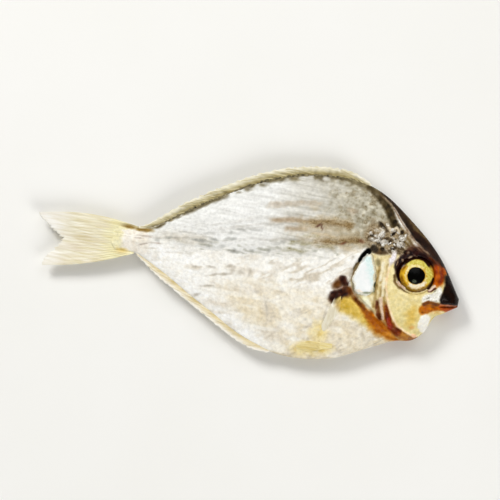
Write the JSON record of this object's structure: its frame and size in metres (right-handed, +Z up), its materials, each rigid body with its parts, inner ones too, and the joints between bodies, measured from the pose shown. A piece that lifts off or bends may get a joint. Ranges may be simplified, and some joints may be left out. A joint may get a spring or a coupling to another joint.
{
  "type": "dried ponyfish",
  "caption": "Whole dried ponyfish: a flat, deep-bodied silvery fish with a large eye, gill cover and forked tail, lying on its side, for cooking or as a snack.",
  "frame": {"origin": "centre of the fish's outline, on the surface that it lies on (z = 0)", "axes": "+X from the tail to the snout, +Y to the back edge, +Z up out of the side that shows"},
  "size_m": [0.1, 0.0456, 0.0088],
  "materials": {
    "skin": "dry silvery skin, satin, grey along the back and cream on the belly",
    "head": "dried amber skin over bone, glossy",
    "fin": "dry pale yellow fin membrane with stiff rays, satin",
    "eye": "glossy dome, golden iris round a black pupil"
  },
  "bodies": {
    "root": {"ponyfish": "skin"}
  },
  "joints": []
}
